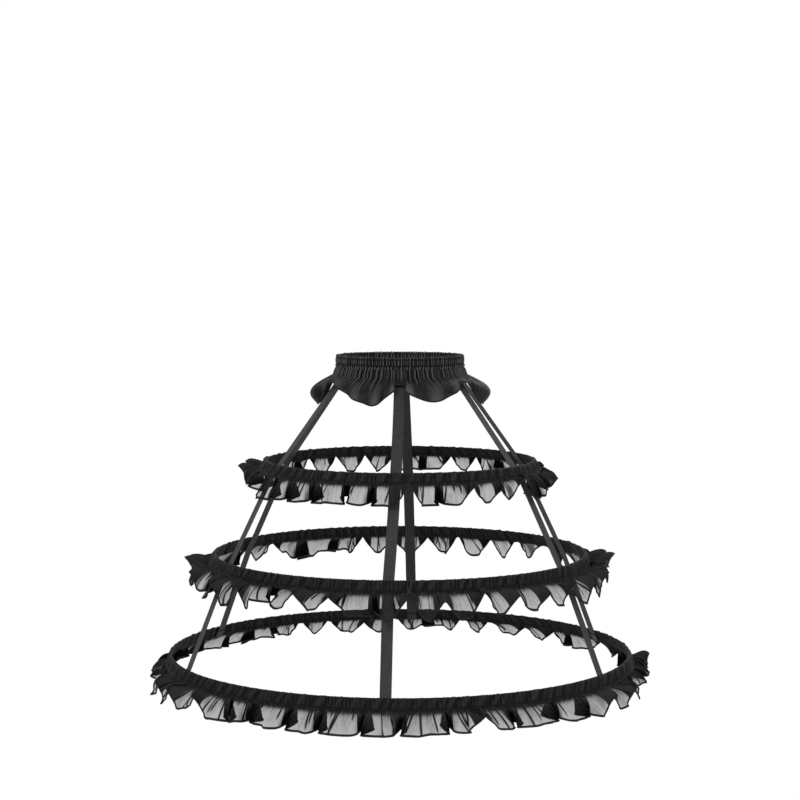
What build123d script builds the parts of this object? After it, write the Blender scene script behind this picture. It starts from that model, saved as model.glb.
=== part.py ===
import os
from math import cos, degrees, hypot, pi, radians, sin
from typing import NamedTuple

from build123d import *

# Sizes in millimetres. Z is up, the front is -Y, and the origin is the centre of the waist opening
# at the top edge of the waistband. Left and right are the wearer's.

# Waistband: an elastic tape in a channel of gathered cloth
WAIST_RADIUS = 112.0
WAISTBAND_HEIGHT = 22.0
WAISTBAND_CLOTH = 1.5
ELASTIC_HEIGHT = 17.0
ELASTIC_THICKNESS = 1.6
ELASTIC_PLAY = 0.3
WAIST_GATHER_COUNT = 20
WAIST_GATHER_DEPTH = 1.2

# Waist ruffle: a tight header under the waistband, then one lobe between every two straps.
# The folds count the corners of the header, and each strap lifts and draws in the hem over it.
HEADER_DROP = 16.0
HEADER_LEAN = 4.0
WAIST_RUFFLE_DROP = 47.0
WAIST_CREST_STANDOFF = 10.0
WAIST_HEM_LIFT = 24.0
WAIST_FOLD_DEPTH = 26.0
WAIST_FOLD_COUNT = 12

# Hoops: outer radius and depth below the waist of each casing's top edge
UPPER_HOOP_RADIUS = 250.0
MIDDLE_HOOP_RADIUS = 346.0
LOWER_HOOP_RADIUS = 427.0
UPPER_HOOP_DEPTH = 193.0
MIDDLE_HOOP_DEPTH = 365.0
LOWER_HOOP_DEPTH = 549.0

# Casing: cloth folded over the hoop strip and stitched to itself along the bottom seam
CASING_HEIGHT = 25.0
CASING_CLOTH = 0.8
SEAM_HEIGHT = 3.0
SEAM_THICKNESS = 3.0
CASING_GATHER_DEPTH = 0.8

# Hoop strip, and the sleeve that joins its two ends at the back
STRIP_HEIGHT = 6.0
STRIP_THICKNESS = 1.0
STRIP_END_GAP = 1.0
SLEEVE_WALL = 0.4
SLEEVE_LENGTH = 16.0
SLEEVE_FIT = 0.1
CHANNEL_PLAY = 0.9

# Hoop ruffles: how far each hangs below its casing, and how far its crests stand off the strap line
UPPER_RUFFLE_DROP = 33.0
MIDDLE_RUFFLE_DROP = 37.0
LOWER_RUFFLE_DROP = 30.0
UPPER_CREST_STANDOFF = 14.0
MIDDLE_CREST_STANDOFF = 26.0
LOWER_CREST_STANDOFF = 27.0
HOOP_FOLD_DEPTH = 44.0
RUFFLE_CLOTH = 1.2
UPPER_FOLD_COUNT = 30
MIDDLE_FOLD_COUNT = 36
LOWER_FOLD_COUNT = 42

# One fold: its corners along the hem, and how far the crest widens into the dip, as a share of the pitch
HEM_CORNER_COUNT = 6
CREST_WIDEN_SHARE = 0.11
# How much a fold that covers no strap varies, as shares of its pitch and of its depth,
# and how far round its cycle, in radians, that change moves on from each fold to the next
FOLD_LEAN_SHARE = 0.09
FOLD_DEPTH_SHARE = 0.25
FOLD_STEP = 2.4

# Straps: ribbons from the waistband down the inside of every casing
STRAP_WIDTH = 20.0
STRAP_THICKNESS = 1.0
STRAP_PLAY = 0.3
STRAP_NAMES = ("front", "front_left", "back_left", "back", "back_right", "front_right")

FULL_TURN = 360.0
HALF_TURN = FULL_TURN / 2

# Places in the strap line, counted from its top end: the header's bottom and the upper casing's seam
HEADER_STOP = 1
UPPER_SEAM_STOP = 3


class Hoop(NamedTuple):
    name: str
    radius: float
    depth: float
    ruffle_drop: float
    standoff: float
    folds: int


HOOPS = (
    Hoop(
        "upper", UPPER_HOOP_RADIUS, UPPER_HOOP_DEPTH,
        UPPER_RUFFLE_DROP, UPPER_CREST_STANDOFF, UPPER_FOLD_COUNT,
    ),
    Hoop(
        "middle", MIDDLE_HOOP_RADIUS, MIDDLE_HOOP_DEPTH,
        MIDDLE_RUFFLE_DROP, MIDDLE_CREST_STANDOFF, MIDDLE_FOLD_COUNT,
    ),
    Hoop(
        "lower", LOWER_HOOP_RADIUS, LOWER_HOOP_DEPTH,
        LOWER_RUFFLE_DROP, LOWER_CREST_STANDOFF, LOWER_FOLD_COUNT,
    ),
)

# Waistband, worked out from the elastic it holds
WAISTBAND_THICKNESS = ELASTIC_THICKNESS + (ELASTIC_PLAY + WAISTBAND_CLOTH) * 2 + WAIST_GATHER_DEPTH
WAISTBAND_OUTER_RADIUS = WAIST_RADIUS + WAISTBAND_THICKNESS
ELASTIC_INNER_RADIUS = WAIST_RADIUS + WAISTBAND_CLOTH + ELASTIC_PLAY
ELASTIC_TOP = -WAISTBAND_CLOTH - ELASTIC_PLAY
HEADER_BOTTOM = -WAISTBAND_HEIGHT - HEADER_DROP

# Casing channel, worked out from the sleeve it holds: a wedge that closes towards the bottom seam
SLEEVE_HEIGHT = STRIP_HEIGHT + (SLEEVE_FIT + SLEEVE_WALL) * 2
SLEEVE_THICKNESS = STRIP_THICKNESS + (SLEEVE_FIT + SLEEVE_WALL) * 2
CHANNEL_TOP = CASING_CLOTH
CHANNEL_BOTTOM = CASING_HEIGHT - SEAM_HEIGHT
SLEEVE_TOP = CHANNEL_TOP + CHANNEL_PLAY
SLEEVE_BOTTOM = SLEEVE_TOP + SLEEVE_HEIGHT
CHANNEL_WIDTH_AT_SLEEVE = SLEEVE_THICKNESS + CHANNEL_PLAY * 2
CHANNEL_WIDTH = CHANNEL_WIDTH_AT_SLEEVE * (CHANNEL_BOTTOM - CHANNEL_TOP) / (CHANNEL_BOTTOM - SLEEVE_BOTTOM)
CASING_THICKNESS = CHANNEL_WIDTH + CASING_CLOTH * 2


def polar(radius, turn, height):
    """A point at a turn from the front, counter-clockwise from above."""
    return Vector(radius * sin(radians(turn)), -radius * cos(radians(turn)), height)


def round_ring(outline, arc=FULL_TURN):
    """An outline of (radius, height) corners swept round Z, its open part, if any, at the back."""
    profile = Face(Wire.make_polygon([(r, 0, z) for r, z in outline]))
    return Rot(0, 0, -FULL_TURN / 4 - arc / 2) * revolve(profile, Axis.Z, arc)


def ring_points(radius, height, sides, swell=0):
    """Points round Z from the front, in turn out and in by a share of the radius."""
    return [polar(radius * (1 + swell * cos(pi * k)), FULL_TURN * k / sides, height) for k in range(sides)]


def band_faces(upper, lower):
    """Flat panels of a band between two rows of points."""
    count = len(upper)
    rows = [(upper[k], upper[(k + 1) % count], lower[(k + 1) % count], lower[k]) for k in range(count)]
    return [Face(Wire.make_polygon(corners)) for corners in rows]


def gathered_ring(outline, sides, swell):
    """A ring of flat panels round Z, from an outline of (radius, height) corners."""
    rows = [ring_points(r, z, sides, swell) for r, z in outline]
    faces = []
    for upper, lower in zip(rows, rows[1:] + rows[:1]):
        faces += band_faces(upper, lower)
    return Solid(Shell(faces))


def wire_face(outer, inner):
    """A flat face between two closed rows of points."""
    return Face(Wire.make_polygon(outer), [Wire.make_polygon(inner)])


def hem_faces(outer, inner):
    """Three-cornered faces that close a hem whose height changes."""
    faces = []
    for k, corner in enumerate(outer):
        after = (k + 1) % len(outer)
        faces.append(Face(Wire.make_polygon([corner, outer[after], inner[k]])))
        faces.append(Face(Wire.make_polygon([outer[after], inner[after], inner[k]])))
    return faces


def hoop_lean(index):
    """Radius gained and height lost per unit length down a casing: halfway between the straps it joins."""
    stops = [(WAISTBAND_OUTER_RADIUS, HEADER_BOTTOM)] + [(hoop.radius, -hoop.depth) for hoop in HOOPS]
    runs = []
    for (r0, z0), (r1, z1) in zip(stops, stops[1:]):
        length = hypot(r1 - r0, z1 - z0)
        runs.append(((r1 - r0) / length, (z1 - z0) / length))
    above = runs[index]
    below = runs[min(index + 1, len(runs) - 1)]
    out, down = above[0] + below[0], above[1] + below[1]
    return out / hypot(out, down), down / hypot(out, down)


def casing_point(index, along, across):
    """A point in a casing's section: along its middle line from the top, and across it, outwards."""
    hoop = HOOPS[index]
    out, down = hoop_lean(index)
    return hoop.radius - CASING_THICKNESS / 2 + out * along + across, -hoop.depth + down * along


def casing_band(index, top, bottom, top_width, bottom_width):
    """Section corners between two distances down a casing, with a level width at each."""
    return [
        casing_point(index, top, top_width / 2),
        casing_point(index, bottom, bottom_width / 2),
        casing_point(index, bottom, -bottom_width / 2),
        casing_point(index, top, -top_width / 2),
    ]


def casing_swell(index):
    """Gather depth of a casing to each side, as a share of its radius."""
    return CASING_GATHER_DEPTH / 2 / HOOPS[index].radius


def make_casing(index):
    sides = HOOPS[index].folds * 2
    outline = casing_band(index, 0, CASING_HEIGHT, CASING_THICKNESS, SEAM_THICKNESS)
    channel = [
        casing_point(index, CHANNEL_TOP, CHANNEL_WIDTH / 2),
        casing_point(index, CHANNEL_BOTTOM, 0),
        casing_point(index, CHANNEL_TOP, -CHANNEL_WIDTH / 2),
    ]
    swell = casing_swell(index)
    return gathered_ring(outline, sides, swell) - gathered_ring(channel, sides, swell)


def strip_band(index, margin, inward=0):
    """Section of the hoop strip, grown by a margin on every side and by more on its inner side."""
    top = SLEEVE_TOP + SLEEVE_WALL + SLEEVE_FIT - margin
    width = STRIP_THICKNESS + margin * 2
    corners = casing_band(index, top, top + STRIP_HEIGHT + margin * 2, width, width)
    return corners[:2] + [(r - inward, z) for r, z in corners[2:]]


def make_hoop_strip(index):
    gap = degrees(STRIP_END_GAP / HOOPS[index].radius)
    return round_ring(strip_band(index, 0), FULL_TURN - gap)


def make_sleeve(index):
    bend = (SLEEVE_LENGTH / 2) ** 2 / (HOOPS[index].radius * 2)
    outlines = (strip_band(index, SLEEVE_FIT + SLEEVE_WALL, bend), strip_band(index, SLEEVE_FIT, bend))
    wires = [Wire.make_polygon([(0, r, z) for r, z in outline]) for outline in outlines]
    return extrude(Face(wires[0], wires[1:]), SLEEVE_LENGTH / 2, dir=(1, 0, 0), both=True)


def level_box(inner, outer, top, bottom):
    return [(outer, top), (outer, bottom), (inner, bottom), (inner, top)]


def waist_swell():
    """Gather depth of the waistband to each side, as a share of its radius."""
    return WAIST_GATHER_DEPTH / 2 / WAISTBAND_OUTER_RADIUS


def make_waistband():
    sides = WAIST_GATHER_COUNT * 2
    outline = Face(Wire.make_polygon(ring_points(WAISTBAND_OUTER_RADIUS, 0, sides, waist_swell())))
    band = extrude(outline, WAISTBAND_HEIGHT, dir=(0, 0, -1))
    band -= Cylinder(WAIST_RADIUS, WAISTBAND_HEIGHT * 2)
    channel = level_box(
        ELASTIC_INNER_RADIUS - ELASTIC_PLAY,
        ELASTIC_INNER_RADIUS + ELASTIC_THICKNESS + ELASTIC_PLAY,
        ELASTIC_TOP + ELASTIC_PLAY,
        ELASTIC_TOP - ELASTIC_HEIGHT - ELASTIC_PLAY,
    )
    return band - gathered_ring(channel, sides, waist_swell())


def make_elastic():
    outline = level_box(
        ELASTIC_INNER_RADIUS,
        ELASTIC_INNER_RADIUS + ELASTIC_THICKNESS,
        ELASTIC_TOP,
        ELASTIC_TOP - ELASTIC_HEIGHT,
    )
    return gathered_ring(outline, WAIST_GATHER_COUNT * 2, waist_swell())


def clear_of_wall(radius, sides, swell):
    """How far out a flat strap can lie inside a gathered wall, in the bend of one of its outer corners."""
    turn = pi * 2 / sides
    side, drop = radius * (1 - swell) * sin(turn), radius * (1 + swell) - radius * (1 - swell) * cos(turn)
    return radius * (1 + swell) - drop * min(STRAP_WIDTH / 2, side) / side - STRAP_PLAY


def strap_line():
    """Outer face of a strap, as (radius, height) points from the waistband to the lowest seam."""
    top = clear_of_wall(WAISTBAND_OUTER_RADIUS - RUFFLE_CLOTH, WAIST_FOLD_COUNT * 2, 0)
    points = [(top, -WAISTBAND_HEIGHT), (top + HEADER_LEAN, HEADER_BOTTOM)]
    for index, hoop in enumerate(HOOPS):
        for along, width in ((0, CASING_THICKNESS), (CASING_HEIGHT, SEAM_THICKNESS)):
            radius, height = casing_point(index, along, -width / 2)
            points.append((clear_of_wall(radius, hoop.folds * 2, casing_swell(index)), height))
    return points


def strap_radius_below(stop, drop):
    """Radius of the strap line a drop below one of its points, running on straight past the last one."""
    line = strap_line()
    r0, z0 = line[stop]
    r1, z1 = line[stop + 1] if stop + 1 < len(line) else line[stop - 1]
    return r0 + (r1 - r0) / (z0 - z1) * drop


def make_strap(number):
    outer = strap_line()
    inner = [(r - STRAP_THICKNESS, z) for r, z in reversed(outer)]
    profile = Face(Wire.make_polygon([(r, 0, z) for r, z in outer + inner]))
    ribbon = extrude(profile, STRAP_WIDTH / 2, dir=(0, 1, 0), both=True)
    return Rot(0, 0, FULL_TURN * number / len(STRAP_NAMES) - FULL_TURN / 4) * ribbon


def fold_change(fold, folds):
    """Lean and depth change of one fold, none where it rides over a strap."""
    if fold % (folds // len(STRAP_NAMES)) == 0:
        return 0, 0
    return FOLD_LEAN_SHARE * sin(fold * FOLD_STEP), FOLD_DEPTH_SHARE * (1 + cos(fold * FOLD_STEP)) / 2


def hem_points(folds, corners, crest, depth):
    """Hem corners as (radius, turn, dip), in every fold from its crest through a dip to the next crest."""
    points = []
    for step in range(folds * corners):
        phase = (step + 1 / 2) / corners
        lean, less = fold_change(round(phase) % folds, folds)
        dip = (1 - cos(phase * pi * 2)) / 2
        share = phase + CREST_WIDEN_SHARE * sin(phase * pi * 2) + lean * (1 - dip)
        reach = crest - depth * (dip * (1 - less) + less / 2)
        points.append((reach, FULL_TURN * share / folds, dip))
    return points


def level_hem(folds, crest, depth, height):
    """A hem at one height, with a crest over every strap."""
    points = hem_points(folds, HEM_CORNER_COUNT, crest, depth)
    return [polar(reach, turn, height) for reach, turn, dip in points]


def scalloped_hem(crest, depth, height, lift):
    """A hem with a lobe between every two straps, drawn in and lifted where a strap comes out under it."""
    lobes = len(STRAP_NAMES)
    corners = HEM_CORNER_COUNT * WAIST_FOLD_COUNT // lobes
    points = hem_points(lobes, corners, crest, depth)
    half = corners // 2
    shift = HALF_TURN / lobes
    from_the_front = points[half:] + points[:half]
    return [polar(reach, turn - shift, height + lift * dip) for reach, turn, dip in from_the_front]


def fold_faces(rim, hem):
    """Flat panels of every fold, from the gathered edge to the hem, most of them fanning from its dip."""
    faces = []
    for fold in range(len(rim) // 2):
        crest, dip, next_crest = (rim[(fold * 2 + k) % len(rim)] for k in range(3))
        first = fold * HEM_CORNER_COUNT
        before, *corners = [hem[(first + k) % len(hem)] for k in range(-1, HEM_CORNER_COUNT)]
        panels = [(crest, before, corners[0]), (crest, corners[0], dip)]
        panels += [(dip, near, far) for near, far in zip(corners, corners[1:])]
        panels.append((dip, corners[-1], next_crest))
        faces += [Face(Wire.make_polygon(panel)) for panel in panels]
    return faces


def make_hoop_ruffle(index):
    hoop = HOOPS[index]
    seam_radius, top = casing_point(index, CASING_HEIGHT, RUFFLE_CLOTH / 2)
    crest = strap_radius_below(UPPER_SEAM_STOP + index * 2, hoop.ruffle_drop) + hoop.standoff
    bottom = top - hoop.ruffle_drop
    rims, hems = [], []
    for inset in (0, RUFFLE_CLOTH):
        rims.append(ring_points(seam_radius - inset, top, hoop.folds * 2, casing_swell(index)))
        hems.append(level_hem(hoop.folds, crest - inset, HOOP_FOLD_DEPTH, bottom))
    faces = fold_faces(rims[0], hems[0]) + fold_faces(rims[1], hems[1])
    faces += [wire_face(*rims), wire_face(*hems)]
    return Solid(Shell(faces))


def make_waist_ruffle():
    bottom = HEADER_BOTTOM - WAIST_RUFFLE_DROP
    crest = strap_radius_below(HEADER_STOP, WAIST_RUFFLE_DROP) + WAIST_CREST_STANDOFF
    tops, rims, hems = [], [], []
    for inset in (0, RUFFLE_CLOTH):
        radius = WAISTBAND_OUTER_RADIUS - inset
        tops.append(ring_points(radius, -WAISTBAND_HEIGHT, WAIST_FOLD_COUNT * 2))
        rims.append(ring_points(radius + HEADER_LEAN, HEADER_BOTTOM, WAIST_FOLD_COUNT * 2))
        hems.append(scalloped_hem(crest - inset, WAIST_FOLD_DEPTH, bottom, WAIST_HEM_LIFT))
    faces = [wire_face(*tops)] + hem_faces(*hems)
    for k in range(2):
        faces += band_faces(tops[k], rims[k]) + fold_faces(rims[k], hems[k])
    return Solid(Shell(faces))


def make_all():
    nodes = {
        "waist_casing": make_waistband(),
        "waist_elastic": make_elastic(),
        "waist_ruffle": make_waist_ruffle(),
    }
    for index, hoop in enumerate(HOOPS):
        nodes[f"casing_{hoop.name}"] = make_casing(index)
        nodes[f"hoop_{hoop.name}"] = make_hoop_strip(index)
        nodes[f"hoop_sleeve_{hoop.name}"] = make_sleeve(index)
        nodes[f"ruffle_{hoop.name}"] = make_hoop_ruffle(index)
    for number, name in enumerate(STRAP_NAMES):
        nodes[f"strap_{name}"] = make_strap(number)
    return nodes


os.makedirs("parts", exist_ok=True)
for node, shape in make_all().items():
    export_step(shape, f"parts/{node}.step")
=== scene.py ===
"""A black cage skirt: shirred waistband and frill, six ribbon straps, and three hoops with sheer ruffles."""

from math import pi, radians

import bpy
import numpy as np
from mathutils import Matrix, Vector


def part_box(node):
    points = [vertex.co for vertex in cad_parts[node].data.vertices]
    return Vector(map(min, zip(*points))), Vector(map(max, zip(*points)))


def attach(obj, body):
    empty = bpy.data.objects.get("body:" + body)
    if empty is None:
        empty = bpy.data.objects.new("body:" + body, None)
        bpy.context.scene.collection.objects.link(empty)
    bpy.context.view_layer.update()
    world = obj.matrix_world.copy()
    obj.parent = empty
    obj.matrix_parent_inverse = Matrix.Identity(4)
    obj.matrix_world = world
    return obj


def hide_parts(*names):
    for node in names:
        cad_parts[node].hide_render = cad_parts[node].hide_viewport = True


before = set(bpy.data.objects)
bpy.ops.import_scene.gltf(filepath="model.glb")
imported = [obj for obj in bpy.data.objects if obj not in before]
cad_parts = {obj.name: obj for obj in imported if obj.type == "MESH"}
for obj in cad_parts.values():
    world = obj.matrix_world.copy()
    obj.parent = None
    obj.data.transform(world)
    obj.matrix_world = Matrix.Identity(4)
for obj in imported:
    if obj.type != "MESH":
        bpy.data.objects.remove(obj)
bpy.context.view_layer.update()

MM = 0.001
TURN = 2 * pi
SEED = 7
TINY = 1e-12

# Waistband and frill, as in the part's source
WAIST_RADIUS = 112 * MM
BAND_OUTER_RADIUS = 118.4 * MM
BAND_HEIGHT = 22 * MM
HEADER_BOTTOM = -38 * MM
HEADER_LEAN = 4 * MM
FRILL_CREST_RADIUS = 166.5 * MM
FRILL_FOLD_DEPTH = 26 * MM

# Casings and ruffles, as in the part's source
CASING_HEIGHT = 25 * MM
CASING_THICKNESS = 7.66 * MM
FOLD_DEPTH = 44 * MM

# Straps, as in the part's source: the outer face, from the waistband to the lowest seam
STRAP_NAMES = ("front", "front_left", "back_left", "back", "back_right", "front_right")
STRAP_WIDTH = 20 * MM
STRAP_THICKNESS = 1 * MM
STRAP_LINE = np.array([
    (115.6, -22), (119.6, -38), (241.6, -193), (258.2, -213.5),
    (337.7, -365), (351.2, -387.4), (418.8, -549), (431.2, -571.9),
]) * MM
STRAP_TURNS = np.arange(len(STRAP_NAMES)) * TURN / len(STRAP_NAMES)

# How far aside the front strap is sewn at the waist
FRONT_STRAP_SKEW = radians(3.4)

# Steps along a ruffle's hem, and samples of a hem's curve from one place to the next
CLOTH_STEP = 1.1 * MM
CURVE_SAMPLES = 20

# Stitches and hems
CASING_STITCH = 20.5 * MM
BAND_STITCHES = (-4.5 * MM, -15.5 * MM)
STITCH_PITCH = 3.2 * MM
STITCH_LENGTH = 2.3 * MM
STITCH_RISE = 0.45 * MM
THREAD_RADIUS = 0.22 * MM
TACK_PITCH = 2.6 * MM
TACK_RISE = 0.4 * MM
HEM_ROLL_RADIUS = 1.45 * MM
HEM_STEP = 1.9 * MM

# How much darker the cloth is painted along a line of stitches: painted shade where the gathers are pinched
# in
SEAM_SHADE_DROP = 0.25

# Camera and room
CAMERA_DISTANCE = 3.788
CAMERA_HEIGHT = 0.1944
CAMERA_TURN = radians(3.3)
CAMERA_TILT = radians(4.2127)
CAMERA_LENS = 92.56
SENSOR_WIDTH = 36
FLOOR_HEIGHT = -1.03
FLOOR_SIZE = 12.0
FLOOR_GREY_RADIUS = 0.35
FLOOR_WHITE_RADIUS = 0.75
LIT_POINT = (0, 0, -0.3)

# Lamps: name, place, watts and size
LAMPS = (
    ("key", (-1.1, -3.1, 1.9), 55, 1.8),
    ("fill", (2.4, -2.2, 0.8), 22, 2.0),
    ("back", (0.6, 2.6, 1.8), 20, 1.6),
)


class Hoop:
    """One hoop's sizes, as in the part's source, with how its ruffle lies.

    lifted_shares say how many pleats are lifted at LIFTED_PLACE_SHARES. At both sides, side_share of the way
    from front to back, the ruffle stands straight out: its hem rises by a share of its drop and draws in.
    """

    def __init__(
        self, name, radius, depth, lean, crest, folds, lifted_shares, rise_share, draw_in, side_share,
    ):
        self.name = name
        self.radius = radius * MM
        self.depth = depth * MM
        self.lean = lean
        self.crest = crest * MM
        self.folds = folds
        self.lifted_shares = lifted_shares
        self.rise_share = rise_share
        self.draw_in = draw_in * MM
        self.side_share = side_share
        self.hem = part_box(f"ruffle_{name}")[0].z

    def casing_point(self, along, across):
        """Radius and height in the casing's section: down its middle line, and across that, outwards."""
        out, down = self.lean
        return self.radius - CASING_THICKNESS / 2 + out * along + across, -self.depth + down * along


HOOPS = (
    Hoop(
        "upper", radius=250, depth=193, lean=(0.570, -0.822), crest=289.5, folds=30,
        lifted_shares=(0.3, 0.55, 0.562, 0.6), rise_share=0.7, draw_in=0, side_share=0.52,
    ),
    Hoop(
        "middle", radius=346, depth=365, lean=(0.446, -0.895), crest=392.7, folds=36,
        lifted_shares=(0.75, 0.55, 0.622, 0.85), rise_share=0.9, draw_in=6, side_share=0.52,
    ),
    Hoop(
        "lower", radius=427, depth=549, lean=(0.403, -0.915), crest=474.5, folds=42,
        lifted_shares=(0.12, 0.45, 0.05, 0.95), rise_share=0.6, draw_in=13, side_share=0.47,
    ),
)


def strap_turn(turn, height):
    """A strap's turn at a height: the front one starts a little aside, and runs true by the middle hoop."""
    skew = FRONT_STRAP_SKEW if turn == 0 else 0
    return turn + skew * np.clip(1 + height / HOOPS[1].depth, 0, 1)


# Curves and places

def around(radius, turn, height):
    """Points at turns from the front, counter-clockwise from above."""
    parts = np.broadcast_arrays(radius * np.sin(turn), -radius * np.cos(turn), height)
    return np.stack(parts, axis=-1)


def turns_of(points):
    """Turns of points from the front."""
    return np.arctan2(points[:, 0], -points[:, 1])


def even_places(length, count):
    """Places at even steps round a ring."""
    return np.arange(count) * length / count


def nearest(distance, length):
    """A distance round a ring taken the shorter way, so from minus half its length to half of it."""
    return (distance + length / 2) % length - length / 2


def smooth(x):
    """0 to 1 with soft ends."""
    x = np.clip(x, 0, 1)
    return x * x * (3 - 2 * x)


def step(x, start, whole):
    """0 up to a start, then softly to 1 where it is whole."""
    return smooth((x - start) / (whole - start))


def peak(distance, reach):
    """1 at no distance, falling softly to 0."""
    return np.exp(-((distance / reach) ** 2))


def blend(low, high, share):
    """A value that much of the way from low to high."""
    return low + (high - low) * share


def ripple(turn, waves, rng, spread=0.3, parts=7):
    """Uneven gathers round a ring, about -1 to 1: waves of near counts that drift in and out of step."""
    counts = np.round(waves * (1 + spread * rng.uniform(-1, 1, parts)))
    phases = rng.uniform(0, TURN, parts)
    total = sum(np.cos(count * turn + phase) for count, phase in zip(counts, phases))
    return total / np.sqrt(parts)


def gather_reach(place, waves, shares, swing, rng):
    """How far down the cloth its gathers run at each place, between two shares of the drop."""
    return blend(*shares, smooth(0.5 + swing * ripple(place, waves, rng, spread=0.5)))


def closed_curve(points, samples=CURVE_SAMPLES):
    """A smooth closed line through points, with that many samples from each point to the next."""
    points = np.asarray(points)
    before, after, second = (np.roll(points, shift, axis=0) for shift in (1, -1, -2))
    t = (np.arange(samples) / samples)[None, :, None]
    p0, p1, p2, p3 = (row[:, None, :] for row in (before, points, after, second))
    curve = p1 + (p2 - p0) / 2 * t
    curve = curve + (p0 - 2.5 * p1 + 2 * p2 - p3 / 2) * t**2 + (1.5 * (p1 - p2) + (p3 - p0) / 2) * t**3
    return curve.reshape(-1, points.shape[1])


def path_lengths(path):
    """Length along an open line up to each point."""
    return np.concatenate([[0], np.cumsum(np.linalg.norm(np.diff(path, axis=0), axis=1))])


def closed(line):
    """A closed line with its first point again at its end."""
    return np.vstack([line, line[:1]])


def at_lengths(path, places):
    """Points of an open line at lengths along it."""
    lengths = path_lengths(path)
    return np.stack([np.interp(places, lengths, column) for column in path.T], axis=1)


# Cloth grids and meshes

# A cloth seen on edge counts as if it faced the eye by this share at least
LEAST_FACING_SHARE = 0.28


def unit(vectors):
    """Vectors made one long."""
    return vectors / np.maximum(np.linalg.norm(vectors, axis=-1, keepdims=True), TINY)


def grid_normals(points):
    """Outward direction at every point of a cloth grid whose columns go all the way round."""
    along = np.roll(points, -1, axis=1) - np.roll(points, 1, axis=1)
    down = np.gradient(points, axis=0)
    return unit(np.cross(down, along))


def pushed(points, offset):
    """A cloth grid moved along its own normals."""
    return points + grid_normals(points) * offset[..., None]


def layers_crossed(points, tightness):
    """Cloth thicknesses crossed looking at the skirt's axis, more where the cloth is gathered tight."""
    outward = unit(points * np.array([1, 1, 0]))
    facing = np.abs((grid_normals(points) * outward).sum(axis=2))
    return (1 + tightness) / np.maximum(facing, LEAST_FACING_SHARE)


def flat_size(points):
    """Width and length of the cloth before it was gathered, from the longest row and the mean column."""
    rows = np.linalg.norm(np.roll(points, -1, axis=1) - points, axis=2).sum(axis=1)
    columns = np.linalg.norm(np.diff(points, axis=0), axis=2).sum(axis=0)
    return float(rows.max()), float(columns.mean())


def grid_mesh(name, points, u, v):
    """A mesh from a grid whose columns go all the way round, with a UV map of each column's u and row's v."""
    rows, columns = points.shape[:2]
    index = np.arange(rows * columns).reshape(rows, columns)
    following = np.roll(index, -1, axis=1)
    faces = np.stack([index[:-1], index[1:], following[1:], following[:-1]], axis=-1).reshape(-1, 4)
    mesh = bpy.data.meshes.new(name)
    mesh.from_pydata(points.reshape(-1, 3).tolist(), [], faces.tolist())
    u_corners = np.stack([u[:-1], u[:-1], u[1:], u[1:]], axis=-1)[None].repeat(rows - 1, axis=0)
    v_corners = np.stack([v[:-1], v[1:], v[1:], v[:-1]], axis=-1)[:, None].repeat(columns, axis=1)
    corners = np.stack([u_corners, v_corners], axis=-1).astype(np.float32)
    mesh.uv_layers.new(name="cloth").uv.foreach_set("vector", corners.ravel())
    return mesh


def cloth_object(name, points, material, **values):
    """A sheet from rows of points, from its top, with a UV map in metres and values at its points."""
    width, length = flat_size(points)
    rows, columns = points.shape[:2]
    mesh = grid_mesh(name, points, np.linspace(0, width, columns + 1), np.linspace(0, -length, rows))
    for label, value in values.items():
        flat = np.broadcast_to(value, points.shape[:2]).astype(np.float32).ravel()
        mesh.attributes.new(label, "FLOAT", "POINT").data.foreach_set("value", flat)
    return finished(name, mesh, material)


def placed(name, data):
    """A new object in the scene."""
    made = bpy.data.objects.new(name, data)
    bpy.context.scene.collection.objects.link(made)
    return made


def finished(name, mesh, material):
    """An object for a mesh, smooth and in one material."""
    mesh.polygons.foreach_set("use_smooth", np.ones(len(mesh.polygons), bool))
    mesh.materials.clear()
    mesh.materials.append(material)
    return placed(name, mesh)


# Materials

# Values at which a ramp reaches its dark and its light colour
RAMP_PLACES = (0.3, 0.7)

# Ribs of a ribbon, and where across it its selvedge starts and is whole
RIB_PITCH = 1.1 * MM
SELVEDGE_SHARES = (0.42, 0.46)


def node(tree, kind, inputs=None, output=0, **settings):
    """The output of a new node with settings and inputs, each of them a value or another node's output."""
    made = tree.nodes.new(kind)
    for name, value in settings.items():
        setattr(made, name, value)
    for name, value in (inputs or {}).items():
        if isinstance(value, bpy.types.NodeSocket):
            tree.links.new(value, made.inputs[name])
        else:
            made.inputs[name].default_value = value
    return made.outputs[output]


def add_sockets(tree, way, kind, *labels):
    """Sockets of one kind into or out of a node group."""
    for label in labels:
        tree.interface.new_socket(label, in_out=way, socket_type=f"NodeSocket{kind}")


def maths(tree, operation, first, second=0.0):
    """The result of one sum on two values or outputs."""
    return node(tree, "ShaderNodeMath", {0: first, 1: second}, operation=operation)


def weighted(tree, *parts):
    """The sum of outputs, each times its own share."""
    total = None
    for part, share in parts:
        term = maths(tree, "MULTIPLY", part, share)
        total = term if total is None else maths(tree, "ADD", total, term)
    return total


def mapped(tree, value, low, high):
    """A value from 0 to 1 turned into one from low to high."""
    return node(tree, "ShaderNodeMapRange", {"Value": value, "To Min": low, "To Max": high})


def even_waves(tree, place, pitch):
    """Waves from -1 to 1 along a coordinate."""
    return maths(tree, "SINE", maths(tree, "DIVIDE", maths(tree, "MULTIPLY", place, TURN), pitch))


def noise(tree, place, scale, detail, distortion=0.0):
    """Uneven values from 0 to 1."""
    inputs = {"Vector": place, "Scale": scale, "Detail": detail, "Distortion": distortion}
    return node(tree, "ShaderNodeTexNoise", inputs)


def bumped(tree, height, strength, distance):
    """A normal for a surface with a fine relief."""
    inputs = {"Strength": strength, "Distance": distance, "Height": height}
    return node(tree, "ShaderNodeBump", inputs)


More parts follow.
